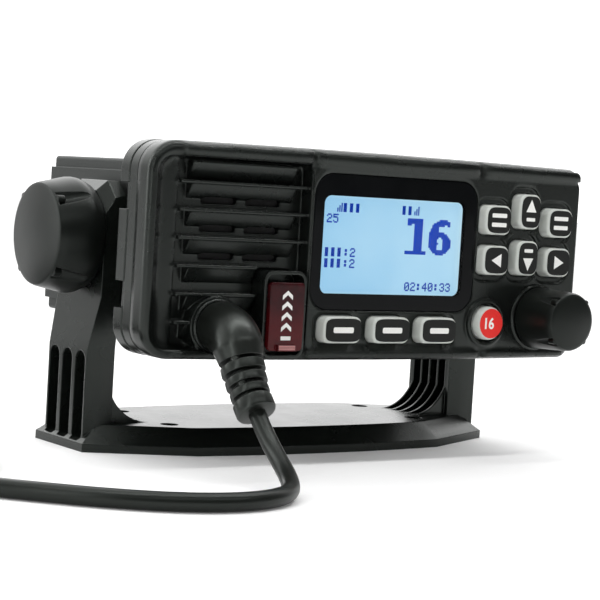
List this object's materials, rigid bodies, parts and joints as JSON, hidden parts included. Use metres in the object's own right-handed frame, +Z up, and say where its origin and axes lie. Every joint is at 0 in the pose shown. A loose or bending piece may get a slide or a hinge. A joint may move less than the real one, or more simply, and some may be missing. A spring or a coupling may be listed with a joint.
{
  "type": "vhf marine radio",
  "caption": "Fixed-mount marine radio on a tilting gimbal bracket, with display, keypad, volume knob, guarded alert key and corded fist microphone.",
  "frame": {"origin": "centre of the bracket's four screw holes, on the mounting surface", "axes": "+X to the right of someone who faces the radio, +Y to the back, +Z up off the mounting surface"},
  "size_m": [0.2854, 0.2518, 0.0935],
  "materials": {
    "case_plastic": "satin",
    "stud_steel": "satin",
    "die_cast": "matt",
    "insert_brass": "satin",
    "soft_rubber": "matt",
    "board_epoxy": "satin",
    "clear_lens": "gloss",
    "red_cover": "gloss",
    "key_plastic": "satin",
    "cone_paper": "matt",
    "mic_plastic": "satin"
  },
  "bodies": {
    "bracket": {"gimbal_bracket": "case_plastic", "mic_cord_tube": "soft_rubber", "mic_cord_tail": "soft_rubber", "mic_cord_coil": "soft_rubber", "mic_front_shell": "mic_plastic", "mic_rear_shell": "mic_plastic", "mic_board": "board_epoxy", "mic_hang_stud": "stud_steel", "mic_boot": "soft_rubber", "mic_screws": "stud_steel"},
    "radio": {"front_bezel": "case_plastic", "mid_frame": "case_plastic", "rear_flange": "case_plastic", "alert_housing": "case_plastic", "mic_gland_ring": "case_plastic", "volume_ring": "case_plastic", "case_screws": "stud_steel", "board_screws": "stud_steel", "alert_hinge_pin": "stud_steel", "speaker_frame": "stud_steel", "speaker_magnet": "stud_steel", "speaker_mesh": "stud_steel", "rf_shield": "stud_steel", "chassis": "die_cast", "chassis_inserts": "insert_brass", "antenna_socket": "insert_brass", "case_seal": "soft_rubber", "friction_washers": "soft_rubber", "key_mat": "soft_rubber", "mic_elbow_boot": "soft_rubber", "rear_glands": "soft_rubber", "main_board": "board_epoxy", "front_board": "board_epoxy", "power_module": "board_epoxy", "volume_encoder": "board_epoxy", "lcd_backlight": "board_epoxy", "display_lens": "clear_lens", "lcd_panel": "clear_lens", "speaker_cone": "cone_paper"},
    "knob_right": {"gimbal_knob_right": "case_plastic", "gimbal_stud_right": "stud_steel"},
    "knob_left": {"gimbal_knob_left": "case_plastic", "gimbal_stud_left": "stud_steel"},
    "volume": {"volume_knob": "case_plastic", "encoder_shaft": "stud_steel"},
    "cover": {"alert_cover": "red_cover"},
    "alert": {"alert_button": "key_plastic"},
    "talk": {"mic_talk_bar": "soft_rubber"},
    "mic_down": {"mic_down_key": "mic_plastic"},
    "mic_up": {"mic_up_key": "mic_plastic"},
    "pad_top_left": {"pad_key_top_left": "key_plastic"},
    "pad_top_mid": {"pad_key_top_mid": "key_plastic"},
    "pad_top_right": {"pad_key_top_right": "key_plastic"},
    "pad_low_left": {"pad_key_low_left": "key_plastic"},
    "pad_low_mid": {"pad_key_low_mid": "key_plastic"},
    "pad_low_right": {"pad_key_low_right": "key_plastic"},
    "soft_left": {"soft_key_left": "key_plastic"},
    "soft_mid": {"soft_key_mid": "key_plastic"},
    "soft_right": {"soft_key_right": "key_plastic"},
    "red": {"red_key": "key_plastic"}
  },
  "joints": [
    {"name": "tilt", "type": "hinge", "parent": "bracket", "child": "radio", "pos_m": [0, 0, 0.0635], "axis": [1, 0, 0], "range_deg": [-35, 10], "deforming": ["mic_cord_tube"]},
    {"name": "gimbal_turn_right", "type": "hinge", "parent": "bracket", "child": "knob_right", "pos_m": [0.08, 0, 0.0635], "axis": [1, 0, 0], "continuous": true},
    {"name": "gimbal_turn_left", "type": "hinge", "parent": "bracket", "child": "knob_left", "pos_m": [-0.08, 0, 0.0635], "axis": [1, 0, 0], "continuous": true},
    {"name": "volume_turn", "type": "hinge", "parent": "radio", "child": "volume", "pos_m": [0.0634, -0.065, 0.0449], "axis": [0, -1, 0], "continuous": true},
    {"name": "cover_lift", "type": "hinge", "parent": "radio", "child": "cover", "pos_m": [-0.0345, -0.0524, 0.0522], "axis": [-1, 0, 0], "range_deg": [0, 100], "stiffness_Nm_per_rad": 0.01, "springref_deg": -17.19},
    {"name": "alert_press", "type": "slide", "parent": "radio", "child": "alert", "axis": [0, 1, 0], "range_m": [0, 0.001], "stiffness_N_per_m": 600, "springref_m": -0.0006},
    {"name": "talk_press", "type": "slide", "parent": "bracket", "child": "talk", "axis": [1, 0, 0], "range_m": [0, 0.0018], "stiffness_N_per_m": 600, "springref_m": -0.0012},
    {"name": "mic_down_press", "type": "slide", "parent": "bracket", "child": "mic_down", "axis": [0, 0, -1], "range_m": [0, 0.0008], "stiffness_N_per_m": 400, "springref_m": -0.0006},
    {"name": "mic_up_press", "type": "slide", "parent": "bracket", "child": "mic_up", "axis": [0, 0, -1], "range_m": [0, 0.0008], "stiffness_N_per_m": 400, "springref_m": -0.0006},
    {"name": "pad_top_left_press", "type": "slide", "parent": "radio", "child": "pad_top_left", "axis": [0, 1, 0], "range_m": [0, 0.001], "stiffness_N_per_m": 400, "springref_m": -0.0006},
    {"name": "pad_top_mid_press", "type": "slide", "parent": "radio", "child": "pad_top_mid", "axis": [0, 1, 0], "range_m": [0, 0.001], "stiffness_N_per_m": 400, "springref_m": -0.0006},
    {"name": "pad_top_right_press", "type": "slide", "parent": "radio", "child": "pad_top_right", "axis": [0, 1, 0], "range_m": [0, 0.001], "stiffness_N_per_m": 400, "springref_m": -0.0006},
    {"name": "pad_low_left_press", "type": "slide", "parent": "radio", "child": "pad_low_left", "axis": [0, 1, 0], "range_m": [0, 0.001], "stiffness_N_per_m": 400, "springref_m": -0.0006},
    {"name": "pad_low_mid_press", "type": "slide", "parent": "radio", "child": "pad_low_mid", "axis": [0, 1, 0], "range_m": [0, 0.001], "stiffness_N_per_m": 400, "springref_m": -0.0006},
    {"name": "pad_low_right_press", "type": "slide", "parent": "radio", "child": "pad_low_right", "axis": [0, 1, 0], "range_m": [0, 0.001], "stiffness_N_per_m": 400, "springref_m": -0.0006},
    {"name": "soft_left_press", "type": "slide", "parent": "radio", "child": "soft_left", "axis": [0, 1, 0], "range_m": [0, 0.001], "stiffness_N_per_m": 400, "springref_m": -0.0006},
    {"name": "soft_mid_press", "type": "slide", "parent": "radio", "child": "soft_mid", "axis": [0, 1, 0], "range_m": [0, 0.001], "stiffness_N_per_m": 400, "springref_m": -0.0006},
    {"name": "soft_right_press", "type": "slide", "parent": "radio", "child": "soft_right", "axis": [0, 1, 0], "range_m": [0, 0.001], "stiffness_N_per_m": 400, "springref_m": -0.0006},
    {"name": "red_press", "type": "slide", "parent": "radio", "child": "red", "axis": [0, 1, 0], "range_m": [0, 0.001], "stiffness_N_per_m": 400, "springref_m": -0.0006}
  ]
}
